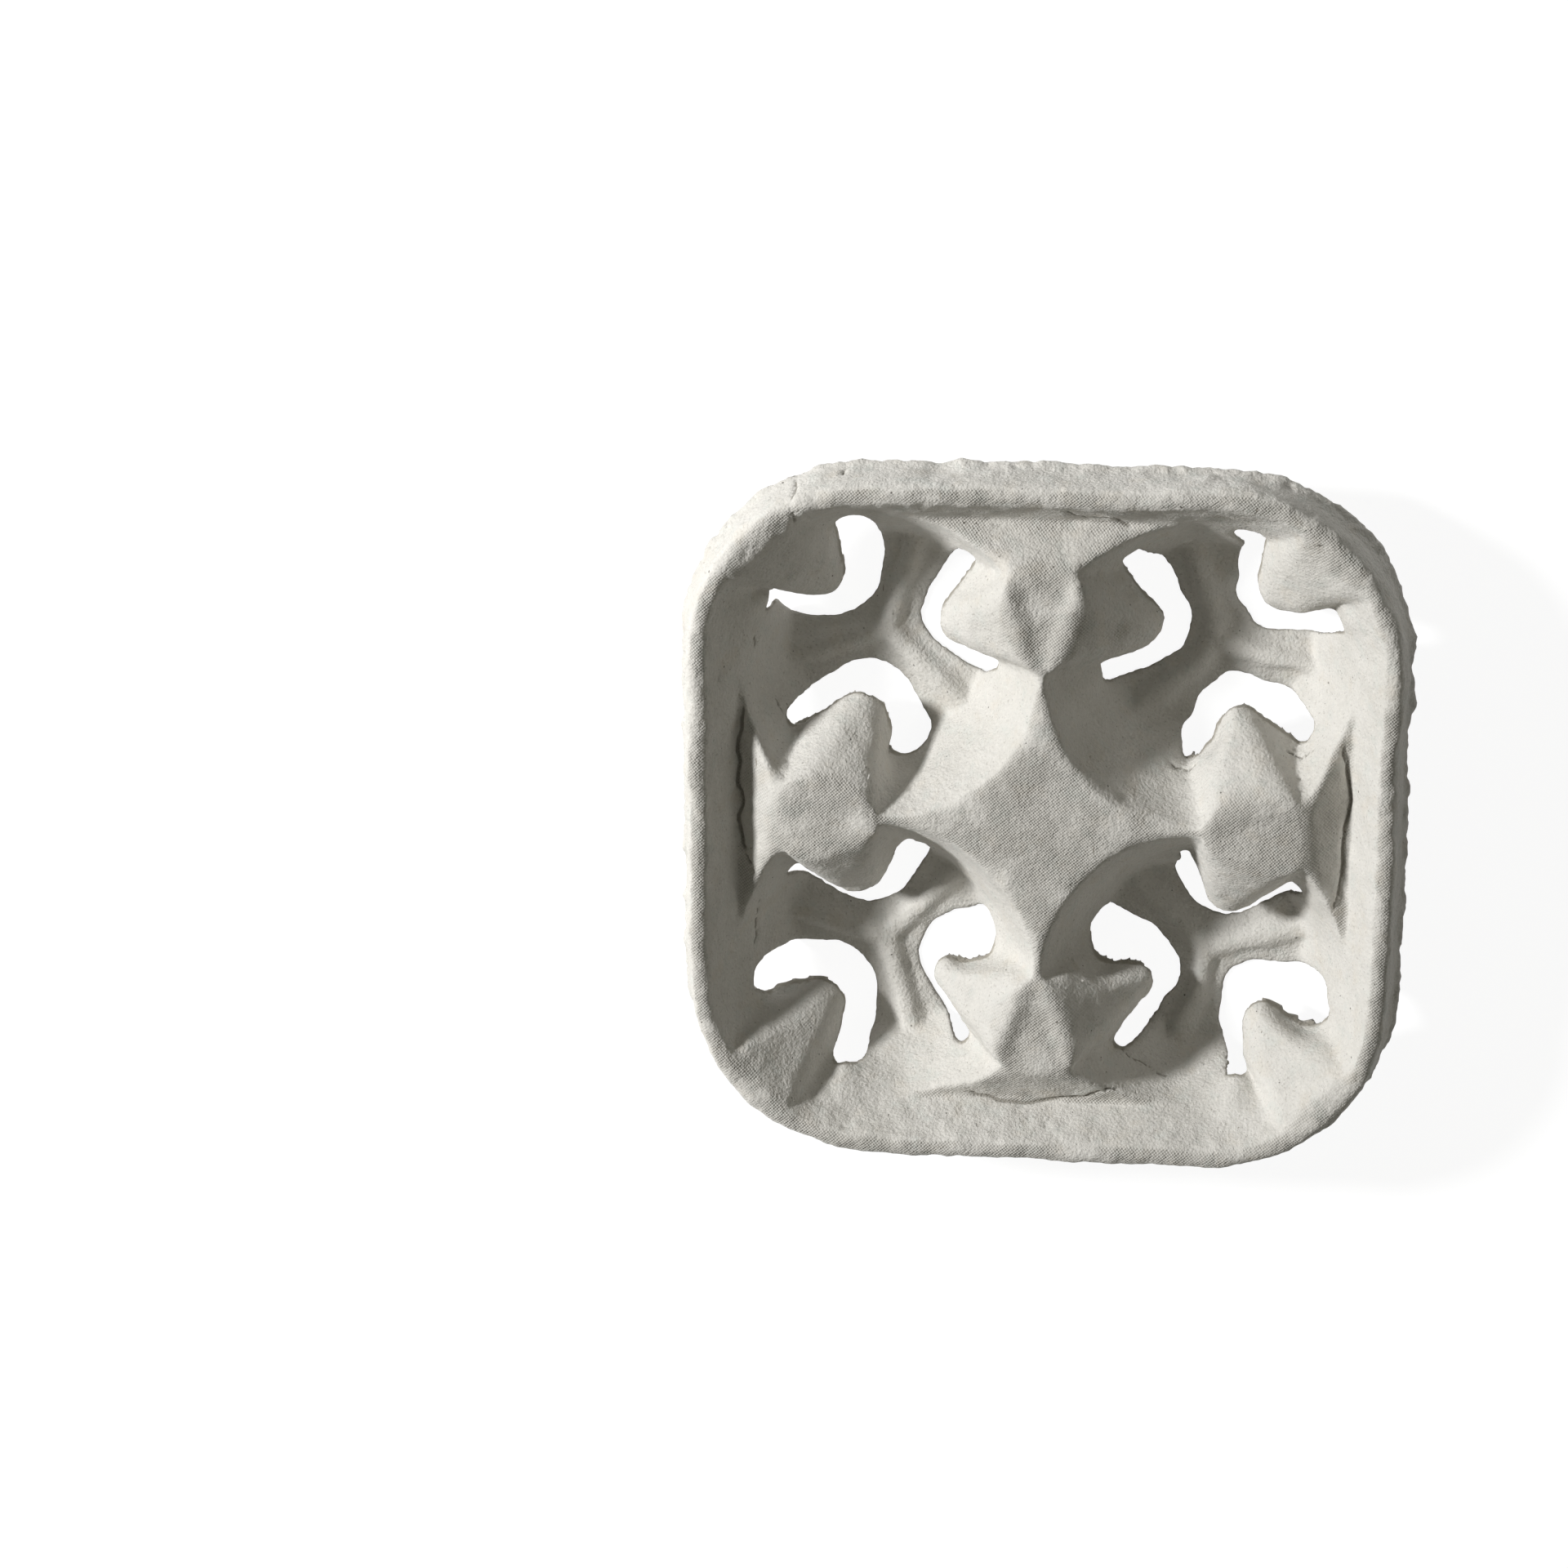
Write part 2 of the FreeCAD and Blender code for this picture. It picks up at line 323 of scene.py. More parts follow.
@dataclass
class PulpSkin:
    """The whole tray as one skin of moulded pulp.

    Sizes are in metres. The rim's zones are told apart by how far out they lie. A span gives where a
    zone's smooth step starts and ends.
    """

    camera: PhotoCamera
    node: str = "carrier_tray"
    name: str = "pulp_tray"
    merge_gap: float = 0.001 * MM
    voxel: float = 0.75 * MM
    skin: float = 1.9 * MM

    outline_centre: float = 51.0 * MM
    pocket_reach: float = 97.0 * MM
    rim_zone: Span = (88 * MM, 96 * MM)
    lip_zone: Span = (105.6 * MM, 106.8 * MM)
    edge_slope: float = 0.36
    edge_spread: int = 3
    cut_slope: float = 0.15
    cut_spread: int = 2
    least_weight: float = 0.01

    smoothing: float = 0.5
    all_rounds: int = 4
    fold_rounds: int = 18
    floor_folds: float = 0.75
    fold_heights: Span = (7 * MM, 15 * MM)

    hump_press: float = 0.85
    hump_rounds: int = 60
    hump_start: Span = (24 * MM, 30 * MM)
    hump_end: Span = (84 * MM, 78 * MM)
    hump_side: Span = (24 * MM, 18 * MM)
    hump_heights: Span = (16 * MM, 26 * MM)
    hump_caps: tuple[Place, ...] = (
        (1.0, 0.0, 39.9 * MM), (0.0, 1.0, 41.3 * MM), (-1.0, 0.0, 39.4 * MM), (0.0, -1.0, 41.4 * MM),
    )

    skin_lumps: tuple[Lumps, ...] = (
        Lumps("slow_lean", 45 * MM, 2.0 * MM, push=Push.BOTH_SKINS),
        Lumps("bulges", 14 * MM, 1.2 * MM, push=Push.BOTH_SKINS),
        Lumps("lumps", 5 * MM, 0.40 * MM),
        Lumps("grain", 2.2 * MM, 0.26 * MM),
    )
    rim_lumps: tuple[Lumps, ...] = (
        Lumps("rim_waves", 9 * MM, 0.9 * MM, Zone.RIM),
        Lumps("rim_lumps", 3.2 * MM, 0.55 * MM, Zone.RIM),
    )
    edge_lumps: tuple[Lumps, ...] = (
        Lumps("torn_coarse", 5.5 * MM, 0.5 * MM, Zone.TORN),
        Lumps("torn_fine", 1.5 * MM, 0.35 * MM, Zone.TORN),
        Lumps("tattered", 1.8 * MM, 1.8 * MM, Zone.TATTERS),
        Lumps("lip_coarse", 9 * MM, 1.4 * MM, Zone.LIP),
        Lumps("lip_fine", 2.5 * MM, 0.9 * MM, Zone.LIP),
    )

    upper_share: float = 0.29
    under_share: float = 0.07
    crack_bands: Span = (1.05 * MM, 0.7 * MM)
    crack_taper: float = 3.5 * MM
    screen_rounds: int = 6
    screen_facing: Span = (0.62, 0.86)
    screen_heights: Span = (18 * MM, 27 * MM)
    cut_weights: Span = (0.25, 0.8)

    creases: tuple[Crease, ...] = (
        Crease("rim nick", ((1037, 566), (1033, 574), (1031, 584)), 0.5 * MM, 0.7 * MM),
        Crease("rim hairline", ((976, 578), (972, 605), (966, 622)), 0.5 * MM, 0.4 * MM),
        Crease("finger crease", ((965, 621), (971, 632), (976, 645)), 0.7 * MM, 0.9 * MM),
        Crease("left wall upper crack", ((926, 770), (926, 790), (924, 805)), 0.45 * MM, 0.5 * MM),
        Crease("left wall lower crack", ((933, 1096), (926, 1128), (922, 1165)), 0.45 * MM, 0.5 * MM),
        Crease("left slot crack", ((946, 849), (956, 866), (966, 880)), 0.45 * MM, 0.5 * MM),
        Crease("left groove",
               ((912, 857), (905, 905), (904, 961), (909, 979), (905, 1005), (912, 1044), (926, 1076)),
               0.6 * MM, 1.1 * MM),
        Crease("left bridge crack", ((1064, 990), (1063, 1009)), 0.4 * MM, 0.5 * MM),
        Crease("right groove",
               ((1646, 907), (1650, 943), (1647, 1015), (1645, 1043), (1640, 1099), (1633, 1120)),
               0.6 * MM, 1.1 * MM),
        Crease("right slot crack", ((1570, 918), (1595, 928), (1614, 909)), 0.4 * MM, 0.6 * MM),
        Crease("right inner slot crack", ((1426, 930), (1440, 940), (1456, 943), (1468, 933)),
               0.4 * MM, 0.6 * MM),
        Crease("right lower slot crack", ((1579, 1087), (1604, 1092)), 0.45 * MM, 0.7 * MM),
        Crease("front crack", ((1366, 1275), (1382, 1293), (1408, 1306), (1441, 1321)), 0.35 * MM, 0.4 * MM),
        Crease("front groove", ((1181, 1335), (1240, 1348), (1290, 1346), (1340, 1339), (1374, 1333)),
               0.6 * MM, 0.9 * MM),
        Crease("front slot crack", ((1170, 1258), (1177, 1268), (1183, 1277)), 0.5 * MM, 0.8 * MM),
        Crease("back groove", ((1300, 626), (1340, 634), (1366, 636), (1391, 645)), 0.7 * MM, 0.5 * MM),
    )
    tatters: tuple[Pixel, ...] = (
        (950, 737), (1385, 826), (1500, 1300), (1645, 760), (1455, 933), (1592, 915), (1040, 1298),
        (1120, 932), (978, 886), (1183, 1268), (1372, 1272), (1030, 1090), (1352, 820),
    )
    tatter_zone: Span = (5.0 * MM, 1.5 * MM)
    nudges: tuple[Nudge, ...] = (
        Nudge("back left corner slot, upper end", (1050, 630), (1052, 622), 6 * MM),
        Nudge("back left corner slot, strap", (1081, 675), (1088, 675), 6 * MM),
        Nudge("back left corner slot, elbow", (1081, 725), (1085, 725), 6 * MM),
        Nudge("back left corner slot, lower edge", (936, 771), (949, 752), 6 * MM),
        Nudge("back left corner slot, left end", (917, 747), (934, 736), 5 * MM),
        Nudge("back left inner slot, strap", (1144, 711), (1136, 711), 6 * MM),
        Nudge("back left inner slot, elbow", (1127, 760), (1123, 760), 5 * MM),
        Nudge("back left inner slot, tip", (1211, 834), (1211, 825), 5 * MM),
        Nudge("back left side slot, end", (1116, 920), (1114, 932), 6 * MM),
        Nudge("back left side slot, finger", (1098, 900), (1088, 902), 5 * MM),
        Nudge("back right inner slot, upper end", (1390, 672), (1398, 664), 6 * MM),
        Nudge("back right inner slot, strap", (1433, 705), (1448, 703), 6 * MM),
        Nudge("back right inner slot, elbow", (1452, 750), (1466, 752), 6 * MM),
        Nudge("back right inner slot, lower strap", (1436, 789), (1448, 794), 6 * MM),
        Nudge("back right inner slot, lower edge", (1404, 817), (1408, 822), 5 * MM),
        Nudge("back right inner slot, nose", (1411, 752), (1419, 754), 6 * MM),
        Nudge("back right inner slot, tip", (1337, 827), (1346, 824), 5 * MM),
        Nudge("back right corner slot, upper end", (1498, 666), (1514, 666), 6 * MM),
        Nudge("back right corner slot, strap", (1498, 707), (1511, 707), 6 * MM),
        Nudge("back right corner slot, elbow", (1512, 752), (1522, 749), 6 * MM),
        Nudge("back right corner slot, lower end", (1638, 791), (1636, 779), 6 * MM),
        Nudge("back right corner slot, tip", (1656, 764), (1649, 763), 5 * MM),
        Nudge("back right corner slot, finger", (1589, 740), (1589, 749), 6 * MM),
        Nudge("back right side slot, strap", (1436, 867), (1451, 867), 6 * MM),
        Nudge("back right side slot, left end", (1424, 907), (1440, 907), 6 * MM),
        Nudge("back right side slot, elbow", (1465, 831), (1473, 835), 6 * MM),
        Nudge("back right side slot, left flank", (1475, 905), (1485, 907), 5 * MM),
        Nudge("back right side slot, nose", (1487, 876), (1496, 878), 5 * MM),
        Nudge("back right side slot, outer strap", (1576, 841), (1580, 831), 6 * MM),
        Nudge("back right side slot, right end", (1604, 872), (1613, 870), 6 * MM),
        Nudge("front right inner slot, end", (1354, 1162), (1354, 1180), 6 * MM),
        Nudge("front right inner slot, flank", (1381, 1176), (1385, 1182), 5 * MM),
        Nudge("front right inner slot, nose", (1400, 1194), (1405, 1196), 6 * MM),
        Nudge("front right inner slot, elbow", (1443, 1180), (1451, 1180), 6 * MM),
        Nudge("front right inner slot, strap", (1431, 1210), (1444, 1210), 6 * MM),
        Nudge("front right inner slot, lower strap", (1409, 1242), (1423, 1241), 6 * MM),
        Nudge("front right inner slot, tip", (1396, 1264), (1402, 1261), 5 * MM),
        Nudge("front right corner slot, strap", (1481, 1220), (1490, 1220), 6 * MM),
        Nudge("front right corner slot, lower strap", (1480, 1266), (1490, 1266), 6 * MM),
        Nudge("front right corner slot, lower left end", (1480, 1306), (1498, 1302), 6 * MM),
        Nudge("front right corner slot, lower end", (1508, 1338), (1512, 1323), 6 * MM),
        Nudge("front right corner slot, lower flank", (1535, 1305), (1527, 1305), 6 * MM),
        Nudge("front right corner slot, finger", (1574, 1229), (1574, 1240), 6 * MM),
        Nudge("front right corner slot, outer flank", (1601, 1237), (1601, 1253), 6 * MM),
        Nudge("front right corner slot, outer end", (1638, 1225), (1631, 1225), 5 * MM),
        Nudge("front right corner slot, top", (1570, 1168), (1570, 1173), 7 * MM),
    )
    touches: tuple[Nudge, ...] = (
        Nudge("back left corner slot, left tip", (940, 745), (950, 735), 4 * MM),
        Nudge("back right corner slot, top tip", (1514, 655), (1522, 660), 4 * MM),
        Nudge("back right inner slot, upper strap", (1420, 685), (1426, 678), 5 * MM),
        Nudge("back right side slot, right strap", (1577, 861), (1589, 849), 6 * MM),
        Nudge("front right side slot, left end", (1431, 1052), (1445, 1054), 5 * MM),
        Nudge("front left side slot, edge", (974, 1059), (975, 1066), 5 * MM, 7 * MM),
        Nudge("front left side slot, nose", (1056, 1095), (1050, 1084), 7 * MM),
        Nudge("front left inner slot, top", (1193, 1100), (1197, 1107), 5 * MM),
        Nudge("front left inner slot, end", (1214, 1146), (1214, 1163), 6 * MM),
        Nudge("front left inner slot, finger", (1184, 1158), (1183, 1174), 6 * MM),
        Nudge("front left corner slot, end", (1043, 1314), (1038, 1301), 6 * MM),
        Nudge("front left corner slot, strap", (1073, 1270), (1067, 1270), 6 * MM),
    )

    def build(self) -> bpy.types.Object:
        """Make the skin from the CAD node.

        Returns:
            The finished mesh object.
        """
        piece = self.merged_copy()
        self.remesh(piece)
        torn = self.soften(piece)
        self.press_humps(piece, torn)
        self.nudge(piece)
        self.wander(piece)
        self.tear(piece, torn)
        self.thin_out(piece)
        self.crease(piece)
        self.stand(piece)
        self.mark(piece)
        return piece

    def merged_copy(self) -> bpy.types.Object:
        """Copy the CAD node and merge its loose triangles."""
        source = bpy.data.objects[self.node]
        piece = bpy.data.objects.new(self.name, source.data.copy())
        bpy.context.scene.collection.objects.link(piece)
        make_active(piece)
        bpy.ops.object.mode_set(mode="EDIT")
        bpy.ops.mesh.select_all(action="SELECT")
        bpy.ops.mesh.remove_doubles(threshold=self.merge_gap)
        bpy.ops.object.mode_set(mode="OBJECT")
        return piece

    def apply_modifier(self, piece: bpy.types.Object, kind: str, **settings: object) -> None:
        """Add one modifier and apply it.

        Args:
            piece: The mesh object.
            kind: Blender's name of the modifier.
            settings: Its properties.
        """
        make_active(piece)
        modifier = piece.modifiers.new(kind.lower(), kind)
        for key, value in settings.items():
            setattr(modifier, key, value)
        bpy.ops.object.modifier_apply(modifier=modifier.name)

    def remesh(self, piece: bpy.types.Object) -> None:
        """Give the skin an even, fine mesh."""
        self.apply_modifier(piece, "REMESH", mode="VOXEL", voxel_size=self.voxel, use_smooth_shade=True)

    def smooth(self, piece: bpy.types.Object, rounds: int, zone: Zone | None = None) -> None:
        """Smooth the surface.

        Args:
            piece: The mesh object.
            rounds: How many times.
            zone: Vertex group that limits it, or none.
        """
        self.apply_modifier(piece, "SMOOTH", factor=self.smoothing, iterations=rounds,
                            vertex_group=zone.value if zone else "")

    def soften(self, piece: bpy.types.Object) -> np.ndarray:
        """Round the folds, as pulp does on its mould, and leave the slots' cut edges crisp.

        Args:
            piece: The mesh object.

        Returns:
            How much each point belongs to a slot's cut edge.
        """
        self.smooth(piece, self.all_rounds)
        torn = self.spread(piece, self.cut_edges(piece, self.edge_slope), self.edge_spread)
        # Mask of the cut edges, for the painted shade that the finish lays on them.
        cut = self.spread(piece, self.cut_edges(piece, self.cut_slope), self.cut_spread)
        self.group(piece, Zone.CUT, cut)
        places, _ = self.arrays(piece)
        above_floor = ramp(places[:, 2], *self.fold_heights)
        folds = self.floor_folds + (1.0 - self.floor_folds) * above_floor
        self.group(piece, Zone.FOLDS, (1.0 - torn) * folds)
        self.smooth(piece, self.fold_rounds, Zone.FOLDS)
        return torn

    def press_humps(self, piece: bpy.types.Object, torn: np.ndarray) -> None:
        """Press the finger roots on each bridge down to their height on the real tray, and round them.

        Args:
            piece: The mesh object.
            torn: How much each point belongs to a slot's cut edge.
        """
        places, normals = self.arrays(piece)
        sunk = np.where(normals[:, 2] < 0.0, self.skin, 0.0)
        humps = np.zeros(len(places))
        for along_x, along_y, level in self.hump_caps:
            along = places[:, 0] * along_x + places[:, 1] * along_y
            across = np.abs(places[:, 0] * along_y + places[:, 1] * along_x)
            near = ramp(along, *self.hump_start) * ramp(along, *self.hump_end)
            near *= ramp(across, *self.hump_side)
            excess = np.maximum(places[:, 2] + sunk - level, 0.0)
            places[:, 2] -= near * excess * self.hump_press
            humps = np.maximum(humps, near)
        self.write(piece, places)
        self.group(piece, Zone.HUMPS, humps * (1.0 - torn) * ramp(places[:, 2], *self.hump_heights))
        self.smooth(piece, self.hump_rounds, Zone.HUMPS)

    def nudge(self, piece: bpy.types.Object) -> None:
        """Set single places aside, as the real tray was pressed and handled, then touch up a few.

        Args:
            piece: The mesh object.
        """
        for group in (self.nudges, self.touches):
            surface = BVHTree.FromObject(piece, bpy.context.evaluated_depsgraph_get())
            places, _ = self.arrays(piece)
            moves = np.zeros_like(places)
            for nudge in group:
                moves += nudge.moves(self.camera, surface, places)
            self.write(piece, places + moves)

    def displace(self, piece: bpy.types.Object, layers: tuple[Lumps, ...]) -> None:
        """Push the surface about with procedural textures.

        Args:
            piece: The mesh object.
            layers: The textures, in order.
        """
        for lumps in layers:
            self.apply_modifier(piece, "DISPLACE", texture=lumps.pattern(), texture_coords="LOCAL",
                                direction=lumps.push.value, strength=lumps.reach, mid_level=0.5,
                                vertex_group=lumps.zone.value if lumps.zone else "")

    def wander(self, piece: bpy.types.Object) -> None:
        """Let the whole skin lean and bulge as a dried tray does, both faces together, and the rim most.

        Args:
            piece: The mesh object.
        """
        self.displace(piece, self.skin_lumps)
        places, _ = self.arrays(piece)
        self.group(piece, Zone.RIM, ramp(self.reach(places), *self.rim_zone))
        self.displace(piece, self.rim_lumps)

    def arrays(self, piece: bpy.types.Object) -> tuple[np.ndarray, np.ndarray]:
        """Read the mesh.

        Args:
            piece: The mesh object.

        Returns:
            Its points and their normals.
        """
        mesh = piece.data
        count = len(mesh.vertices)
        places = np.empty(count * 3)
        mesh.vertices.foreach_get("co", places)
        normals = np.empty(count * 3)
        mesh.vertex_normals.foreach_get("vector", normals)
        return places.reshape(-1, 3), normals.reshape(-1, 3)

    def write(self, piece: bpy.types.Object, places: np.ndarray) -> None:
        """Write the points back to the mesh."""
        piece.data.vertices.foreach_set("co", places.ravel())
        piece.data.update()

    def reach(self, places: np.ndarray) -> np.ndarray:
        """Distance of each point from the tray's middle, measured square to the rounded outline.

        Args:
            places: Points of the surface.

        Returns:
            A distance for each point.
        """
        beyond = np.maximum(np.abs(places[:, :2]) - self.outline_centre, 0.0)
        inside = np.max(np.abs(places[:, :2]), axis=1)
        outside = self.outline_centre + np.hypot(beyond[:, 0], beyond[:, 1])
        return np.where(beyond.any(axis=1), outside, inside)

    def edge_ends(self, piece: bpy.types.Object) -> np.ndarray:
        """Read the mesh's edges.

        Args:
            piece: The mesh object.

        Returns:
            The two end points of every edge, as two rows.
        """
        ends = np.empty(len(piece.data.edges) * 2, dtype=np.int64)
        piece.data.edges.foreach_get("vertices", ends)
        return ends.reshape(-1, 2).T

    def spread(self, piece: bpy.types.Object, weights: np.ndarray, rounds: int) -> np.ndarray:
        """Let a zone bleed into its neighbours.

        Args:
            piece: The mesh object.
            weights: A weight for each point.
            rounds: How many edges far it bleeds.

        Returns:
            The softened weights.
        """
        ends = self.edge_ends(piece)
        for _ in range(rounds):
            weights = np.maximum(weights, neighbour_mean(weights, ends))
        return weights

    def group(self, piece: bpy.types.Object, zone: Zone, weights: np.ndarray) -> None:
        """Store a zone as a vertex group.

        Args:
            piece: The mesh object.
            zone: The zone.
            weights: A weight for each point.
        """
        members = piece.vertex_groups.new(name=zone.value)
        for index in np.flatnonzero(weights > self.least_weight):
            members.add([int(index)], float(weights[index]), "REPLACE")

    def cut_edges(self, piece: bpy.types.Object, slope: float) -> np.ndarray:
        """Weight of the slots' cut edges, which stand upright inside the rim.

        Args:
            piece: The mesh object.
            slope: How far from level their normals may point.

        Returns:
            One for a point of a cut edge and nought for any other.
        """
        places, normals = self.arrays(piece)
        upright = np.abs(normals[:, 2]) < slope
        inside = self.reach(places) < self.pocket_reach
        return (upright & inside).astype(float)

    def tear(self, piece: bpy.types.Object, torn: np.ndarray) -> None:
        """Roughen the slots' edges, most at their ends, and let the lip's edge wander.

        Args:
            piece: The mesh object.
            torn: How much each point belongs to a slot's cut edge.
        """
        surface = BVHTree.FromObject(piece, bpy.context.evaluated_depsgraph_get())
        places, _ = self.arrays(piece)
        tattered = np.zeros(len(places))
        for spot in self.tatters:
            hit = surface.ray_cast(*self.camera.ray(*spot))[0]
            if hit is not None:
                near = np.linalg.norm(places - np.array(hit), axis=1)
                tattered = np.maximum(tattered, ramp(near, *self.tatter_zone))
        lip = ramp(self.reach(places), *self.lip_zone)
        for zone, weights in ((Zone.TORN, torn), (Zone.TATTERS, torn * tattered), (Zone.LIP, lip)):
            self.group(piece, zone, weights)
        self.displace(piece, self.edge_lumps)

    def select_points(self, piece: bpy.types.Object, chosen: np.ndarray) -> None:
        """Enter edit mode with only the chosen points selected.

        Args:
            piece: The mesh object.
            chosen: True for each point to select.
        """
        make_active(piece)
        bpy.ops.object.mode_set(mode="EDIT")
        bpy.ops.mesh.select_mode(type="VERT")
        bpy.ops.mesh.select_all(action="DESELECT")
        bpy.ops.object.mode_set(mode="OBJECT")
        piece.data.vertices.foreach_set("select", chosen)
        bpy.ops.object.mode_set(mode="EDIT")

    def thin_out(self, piece: bpy.types.Object) -> None:
        """Bring the mesh under its triangle budget, most on the underside.

        Args:
            piece: The mesh object.
        """
        for name in [group.name for group in piece.vertex_groups if group.name != Zone.CUT.value]:
            piece.vertex_groups.remove(piece.vertex_groups[name])
        for sign, share in ((1.0, self.upper_share), (-1.0, self.under_share)):
            _, normals = self.arrays(piece)
            self.select_points(piece, normals[:, 2] * sign > 0.0)
            bpy.ops.mesh.decimate(ratio=share)
            bpy.ops.object.mode_set(mode="OBJECT")
        LOG.info("thinned to %d faces", len(piece.data.polygons))

    def crease(self, piece: bpy.types.Object) -> None:
        """Press the photograph's creases into the upper skin, and store along them the mask of their painted
        shade.

        Args:
            piece: The mesh object.
        """
        surface = BVHTree.FromObject(piece, bpy.context.evaluated_depsgraph_get())
        lines = [(crease, crease.trace(self.camera, surface)) for crease in self.creases]
        lines = [(crease, line) for crease, line in lines if len(line) > 1]
        self.refine(piece, [line for _, line in lines])
        places, normals = self.arrays(piece)
        depth = np.zeros(len(places))
        # Mask of the painted shade along each crease.
        crease_shade_mask = np.zeros(len(places))
        for crease, line in lines:
            share = np.exp(-((line_distance(places, line) / crease.width) ** 2))
            for end in (line[0], line[-1]):
                share *= ramp(np.linalg.norm(places - end, axis=1), 0.0, self.crack_taper)
            share[normals[:, 2] < 0.0] = 0.0
            depth = np.maximum(depth, share * crease.depth)
            crease_shade_mask = np.maximum(crease_shade_mask, share)
        self.write(piece, places - normals * depth[:, None])
        self.store(piece, Zone.CRACK, crease_shade_mask)
        make_active(piece)
        bpy.ops.object.shade_smooth()

    def refine(self, piece: bpy.types.Object, lines: list[list[np.ndarray]]) -> None:
        """Make the upper skin's mesh finer along the creases, in narrower and narrower bands.

        Args:
            piece: The mesh object.
            lines: The creases' points on the surface.
        """
        for band in self.crack_bands:
            places, normals = self.arrays(piece)
            near = np.min([line_distance(places, line) for line in lines], axis=0)
            self.select_points(piece, (near < band) & (normals[:, 2] > 0.0))
            bpy.ops.mesh.subdivide(number_cuts=1)
            bpy.ops.mesh.select_all(action="SELECT")
            bpy.ops.mesh.quads_convert_to_tris()
            bpy.ops.object.mode_set(mode="OBJECT")

    def stand(self, piece: bpy.types.Object) -> None:
        """Keep the feet flat on the floor.

        Args:
            piece: The mesh object.
        """
        places, _ = self.arrays(piece)
        places[:, 2] = np.maximum(places[:, 2], 0.0)
        self.write(piece, places)

    def store(self, piece: bpy.types.Object, zone: Zone, weights: np.ndarray) -> None:
        """Keep a zone as a mesh attribute for the finish."""
        attribute = piece.data.attributes.new(zone.value, "FLOAT", "POINT")
        attribute.data.foreach_set("value", weights.astype(np.float32))

    def mark(self, piece: bpy.types.Object) -> None:
        """Store the zones that the finish reads.

        Args:
            piece: The mesh object.
        """
        places, normals = self.arrays(piece)
        facing = ramp(self.smoothed(piece, normals[:, 2], self.screen_rounds), *self.screen_facing)
        self.store(piece, Zone.SCREEN, facing * ramp(places[:, 2], *self.screen_heights))
        held = np.array([sum(part.weight for part in point.groups) for point in piece.data.vertices])
        piece.vertex_groups.clear()
        # Mask of the painted shade on the slots' cut edges.
        self.store(piece, Zone.CUT, ramp(held, *self.cut_weights))

    def smoothed(self, piece: bpy.types.Object, weights: np.ndarray, rounds: int) -> np.ndarray:
        """Average a value over the neighbours of each point.

        Args:
            piece: The mesh object.
            weights: A value for each point.
            rounds: How many times it is averaged.

        Returns:
            The averaged values.
        """
        ends = self.edge_ends(piece)
        for _ in range(rounds):
            weights = (weights + neighbour_mean(weights, ends)) / 2
        return weights


class Sheet:
    """A small writer of shader nodes."""

    def __init__(self, tree: bpy.types.NodeTree) -> None:
        """Work on one node tree.

        Args:
            tree: The tree that the nodes go into.
        """
        self.tree = tree

    def add(self, kind: str, inputs: dict | None = None, **settings: object) -> bpy.types.Node:
        """Add a node.

        Args:
            kind: Blender's name of the node.
            inputs: Socket name or number to a value, or to the socket that feeds it.
            settings: Properties of the node.

        Returns:
            The new node.
        """
        node = self.tree.nodes.new(kind)
        for key, value in settings.items():
            setattr(node, key, value)
        self.feed(node, inputs or {})
        return node

    def feed(self, node: bpy.types.Node, inputs: dict) -> None:
        """Set the inputs of a node.

        Args:
            node: The node.
            inputs: Socket name or number to a value, or to the socket that feeds it.
        """
        for key, value in inputs.items():
            if isinstance(value, bpy.types.NodeSocket):
                self.tree.links.new(value, node.inputs[key])
            else:
                node.inputs[key].default_value = value

    def maths(self, operation: str, first: object, second: object) -> bpy.types.NodeSocket:
        """Join two values with a maths node.

        Args:
            operation: Blender's name of the operation.
            first: A value or a socket.
            second: A value or a socket.

        Returns:
            The result's socket.
        """
        return self.add("ShaderNodeMath", {0: first, 1: second}, operation=operation).outputs[0]

    def step(self, value: object, low: float, high: float) -> bpy.types.NodeSocket:
        """Take a smooth step of a value.

        Args:
            value: A value or a socket.
            low: Where the result is 0; it may lie above high.
            high: Where the result is 1.

        Returns:
            The result's socket.
        """
        sockets = {"Value": value, "From Min": low, "From Max": high}
        node = self.add("ShaderNodeMapRange", sockets, interpolation_type="SMOOTHSTEP")
        return node.outputs["Result"]

    def noise(self, place: bpy.types.NodeSocket, size: float, detail: float = 2.0) -> bpy.types.NodeSocket:
        """Noise whose lumps have a size in metres."""
        sockets = {"Vector": place, "Scale": 1.0 / size, "Detail": detail}
        return self.add("ShaderNodeTexNoise", sockets).outputs["Fac"]

    def mix(self, share: object, first: object, second: object) -> bpy.types.NodeSocket:
        """Mix two colours; the second one shows fully at a share of 1."""
        return self.add("ShaderNodeMix", {0: share, 6: first, 7: second}, data_type="RGBA").outputs[2]

    def lay(self, colour: object, mask: object, share: float, tint: Colour) -> bpy.types.NodeSocket:
        """Lay a tint over a colour where the mask is, at no more than its share."""
        return self.mix(self.maths("MULTIPLY", mask, share), colour, tint)

    def seen(self) -> bpy.types.NodeSocket:
        """Tell the rays that show in the picture from those that only light the scene.

        Returns:
            The socket of a value that is 1 for camera, glossy and transmission rays, and 0 for others.
        """
        path = self.add("ShaderNodeLightPath").outputs
        seen = self.maths("MAXIMUM", path["Is Camera Ray"], path["Is Glossy Ray"])
        return self.maths("MAXIMUM", seen, path["Is Transmission Ray"])


